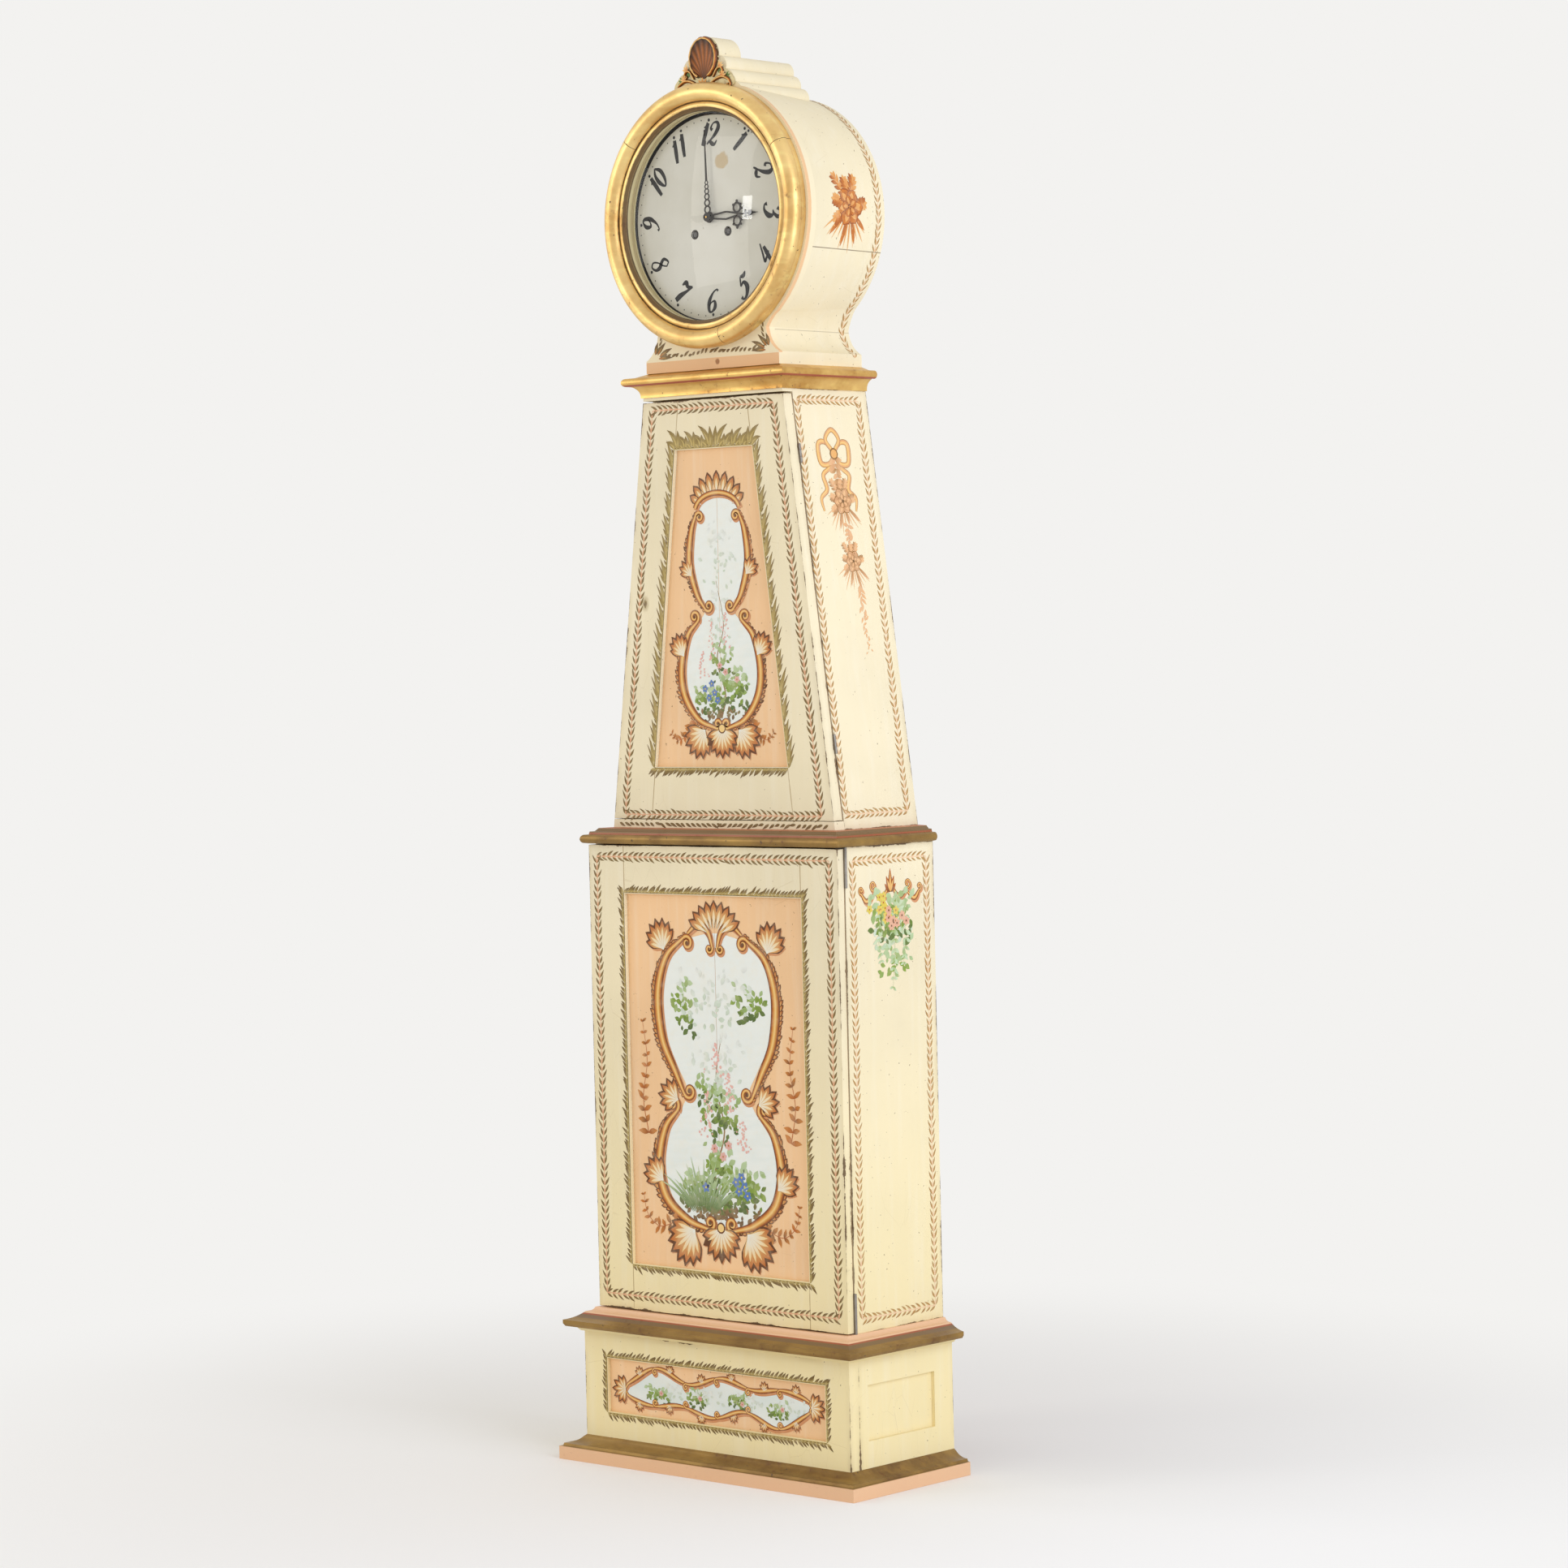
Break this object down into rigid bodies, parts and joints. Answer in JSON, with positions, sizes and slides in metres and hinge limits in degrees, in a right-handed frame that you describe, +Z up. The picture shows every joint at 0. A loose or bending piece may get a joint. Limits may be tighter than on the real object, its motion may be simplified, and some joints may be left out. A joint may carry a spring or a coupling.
{
  "type": "longcase clock",
  "caption": "Painted longcase clock: plinth, panelled straight trunk, tapered panelled upper trunk, round hood with glazed bezel, dial, pendulum and hanging weights.",
  "frame": {"origin": "centre of the bounding box on the floor", "axes": "+Z up, the dial looks towards -Y, +X to the viewer's right"},
  "size_m": [0.627, 0.274, 2.2365],
  "materials": {
    "cream_paint": "aged cream milk paint on pine, brushed, worn at the edges",
    "pale_panel_paint": "aged pale blue-white paint on pine",
    "peach_paint": "aged peach paint on pine",
    "pine": "old bare pine",
    "dull_gilding": "dull olive-gold gilding on pine with red bole in the grooves",
    "bright_gilding": "warm worn gilding on carved pine",
    "iron": "forged iron with some rust",
    "cast_weight": "dark cast iron",
    "brass": "old brass, satin",
    "hand_brass": "dull pierced brass",
    "bell_metal": "cast bell metal on a wrought stand",
    "dial_white": "aged white paint on sheet iron",
    "glass": "clear convex glass",
    "gut_line": "twisted gut line"
  },
  "bodies": {
    "case": {"base_moulding": "dull_gilding", "plinth_front_frame": "cream_paint", "plinth_front_panel": "pale_panel_paint", "plinth_side_frames": "cream_paint", "plinth_side_panels": "pale_panel_paint", "plinth_floor": "pine", "plinth_moulding": "dull_gilding", "lower_side_boards": "cream_paint", "waist_moulding": "dull_gilding", "back_boards": "pine", "upper_side_boards": "cream_paint", "upper_rails": "cream_paint", "cornice": "bright_gilding", "hood_front_board": "peach_paint", "hood_base_fascia": "cream_paint", "hood_back_board": "pine", "hood_neck_staves": "cream_paint", "hood_side_staves": "cream_paint", "hood_crown": "cream_paint", "crest_boards": "cream_paint", "crest_carving": "bright_gilding", "case_hinge_leaves": "iron", "movement_cheeks": "pine", "seat_board": "pine", "movement_frame": "brass", "suspension_cock": "brass", "bell_and_stand": "bell_metal", "dial_plate": "dial_white", "going_line": "gut_line", "strike_line": "gut_line", "barrel_line_strands": "gut_line"},
    "bezel_door": {"bezel_ring": "bright_gilding", "bezel_glass": "glass"},
    "upper_door": {"upper_door_frame": "cream_paint", "upper_door_panel": "pale_panel_paint", "upper_door_hinge_leaves": "iron", "upper_door_lock": "iron"},
    "bolt": {"lock_bolt": "iron"},
    "lower_door": {"lower_door_frame": "cream_paint", "lower_door_panel": "pale_panel_paint", "lower_door_hinge_leaves": "iron"},
    "minute_arbor": {"minute_hand": "hand_brass"},
    "hour_pipe": {"hour_hand": "hand_brass"},
    "minute_wheel_body": {"minute_wheel": "brass"},
    "centre_arbor": {"centre_wheel": "brass"},
    "third_arbor": {"third_wheel": "brass"},
    "escape_arbor": {"escape_wheel": "brass"},
    "going_great": {"going_great_wheel": "brass"},
    "anchor_arbor": {"anchor": "iron"},
    "pendulum": {"pendulum_rod": "iron", "pendulum_bob": "brass"},
    "pin_wheel_arbor": {"strike_pin_wheel": "brass"},
    "strike_great": {"strike_great_wheel": "brass"},
    "hammer_arbor": {"hammer": "iron"},
    "going_drum": {"going_barrel": "brass"},
    "strike_drum": {"strike_barrel": "brass"},
    "going_mass": {"going_weight": "cast_weight"},
    "strike_mass": {"strike_weight": "cast_weight"},
    "going_sheave": {"going_pulley": "brass"},
    "strike_sheave": {"strike_pulley": "brass"}
  },
  "joints": [
    {"name": "bezel_door_hinge", "type": "hinge", "parent": "case", "child": "bezel_door", "pos_m": [-0.2105, -0.05525, 1.959], "axis": [0, 0, -1], "range_deg": [0, 110]},
    {"name": "upper_door_hinge", "type": "hinge", "parent": "case", "child": "upper_door", "pos_m": [0.22292, -0.0358, 1.124], "axis": [-0.1289, 0, 0.9917], "range_deg": [0, 110]},
    {"name": "lower_door_hinge", "type": "hinge", "parent": "case", "child": "lower_door", "pos_m": [0.2675, -0.0708, 0.6], "axis": [0, 0, 1], "range_deg": [0, 110]},
    {"name": "lock_bolt_slide", "type": "slide", "parent": "upper_door", "child": "bolt", "axis": [-1, 0, 0], "range_m": [0, 0.008]},
    {"name": "minute_hand_turn", "type": "hinge", "parent": "case", "child": "minute_arbor", "pos_m": [0, -0.045, 1.9575], "axis": [0, 1, 0], "continuous": true},
    {"name": "minute_wheel_turn", "type": "hinge", "parent": "case", "child": "minute_wheel_body", "pos_m": [0, -0.034, 1.9335], "axis": [0, 1, 0], "continuous": true},
    {"name": "hour_hand_turn", "type": "hinge", "parent": "case", "child": "hour_pipe", "pos_m": [0, -0.045, 1.9575], "axis": [0, 1, 0], "continuous": true},
    {"name": "third_wheel_turn", "type": "hinge", "parent": "case", "child": "third_arbor", "pos_m": [-0.0119, 0, 1.9781], "axis": [0, 1, 0], "continuous": true},
    {"name": "centre_wheel_turn", "type": "hinge", "parent": "case", "child": "centre_arbor", "pos_m": [0, 0, 1.9575], "axis": [0, 1, 0], "continuous": true},
    {"name": "escape_wheel_turn", "type": "hinge", "parent": "case", "child": "escape_arbor", "pos_m": [0, 0, 1.9948], "axis": [0, 1, 0], "continuous": true},
    {"name": "going_great_wheel_turn", "type": "hinge", "parent": "case", "child": "going_great", "pos_m": [0.035, 0.034, 1.9335], "axis": [0, 1, 0], "continuous": true},
    {"name": "pendulum_swing", "type": "hinge", "parent": "case", "child": "pendulum", "pos_m": [0, 0.07, 2.0188], "axis": [0, 1, 0], "range_deg": [-3.5, 3.5]},
    {"name": "anchor_rock", "type": "hinge", "parent": "case", "child": "anchor_arbor", "pos_m": [0, 0.02, 2.0188], "axis": [0, 1, 0], "range_deg": [-3.5, 3.5]},
    {"name": "pin_wheel_turn", "type": "hinge", "parent": "case", "child": "pin_wheel_arbor", "pos_m": [-0.0415, 0, 1.9704], "axis": [0, 1, 0], "continuous": true},
    {"name": "strike_great_wheel_turn", "type": "hinge", "parent": "case", "child": "strike_great", "pos_m": [-0.035, 0.039, 1.9335], "axis": [0, 1, 0], "continuous": true},
    {"name": "hammer_lift", "type": "hinge", "parent": "case", "child": "hammer_arbor", "pos_m": [-0.03, 0.004, 2.0115], "axis": [0, -1, 0], "range_deg": [0, 12], "stiffness_Nm_per_rad": 0.02, "springref_deg": -8.59},
    {"name": "going_weight_fall", "type": "slide", "parent": "case", "child": "going_mass", "axis": [0, 0, -1], "range_m": [0, 0.9], "deforming": ["going_line"]},
    {"name": "going_barrel_turn", "type": "hinge", "parent": "case", "child": "going_drum", "pos_m": [0.035, 0, 1.9335], "axis": [0, 1, 0], "range_deg": [-4466, 0]},
    {"name": "going_pulley_turn", "type": "hinge", "parent": "going_mass", "child": "going_sheave", "pos_m": [0.032, 0.012, 1.79], "axis": [0, 1, 0], "range_deg": [-2567, 0]},
    {"name": "strike_weight_fall", "type": "slide", "parent": "case", "child": "strike_mass", "axis": [0, 0, -1], "range_m": [0, 0.9], "deforming": ["strike_line"]},
    {"name": "strike_barrel_turn", "type": "hinge", "parent": "case", "child": "strike_drum", "pos_m": [-0.035, 0, 1.9335], "axis": [0, 1, 0], "range_deg": [-4466, 0]},
    {"name": "strike_pulley_turn", "type": "hinge", "parent": "strike_mass", "child": "strike_sheave", "pos_m": [-0.038, 0.012, 1.79], "axis": [0, 1, 0], "range_deg": [-2567, 0]}
  ],
  "couplings": [
    {"joint": "minute_wheel_turn", "follows": "minute_hand_turn", "ratio": -0.33333},
    {"joint": "hour_hand_turn", "follows": "minute_hand_turn", "ratio": 0.083333},
    {"joint": "centre_wheel_turn", "follows": "third_wheel_turn", "ratio": -0.13333},
    {"joint": "escape_wheel_turn", "follows": "third_wheel_turn", "ratio": -8},
    {"joint": "going_great_wheel_turn", "follows": "third_wheel_turn", "ratio": 0.011111},
    {"joint": "anchor_rock", "follows": "pendulum_swing", "ratio": 1},
    {"joint": "strike_great_wheel_turn", "follows": "pin_wheel_turn", "ratio": -0.095238},
    {"joint": "going_barrel_turn", "follows": "going_weight_fall", "rad_per_m": -86.58},
    {"joint": "going_pulley_turn", "follows": "going_weight_fall", "rad_per_m": -49.751},
    {"joint": "strike_barrel_turn", "follows": "strike_weight_fall", "rad_per_m": -86.58},
    {"joint": "strike_pulley_turn", "follows": "strike_weight_fall", "rad_per_m": -49.751}
  ]
}
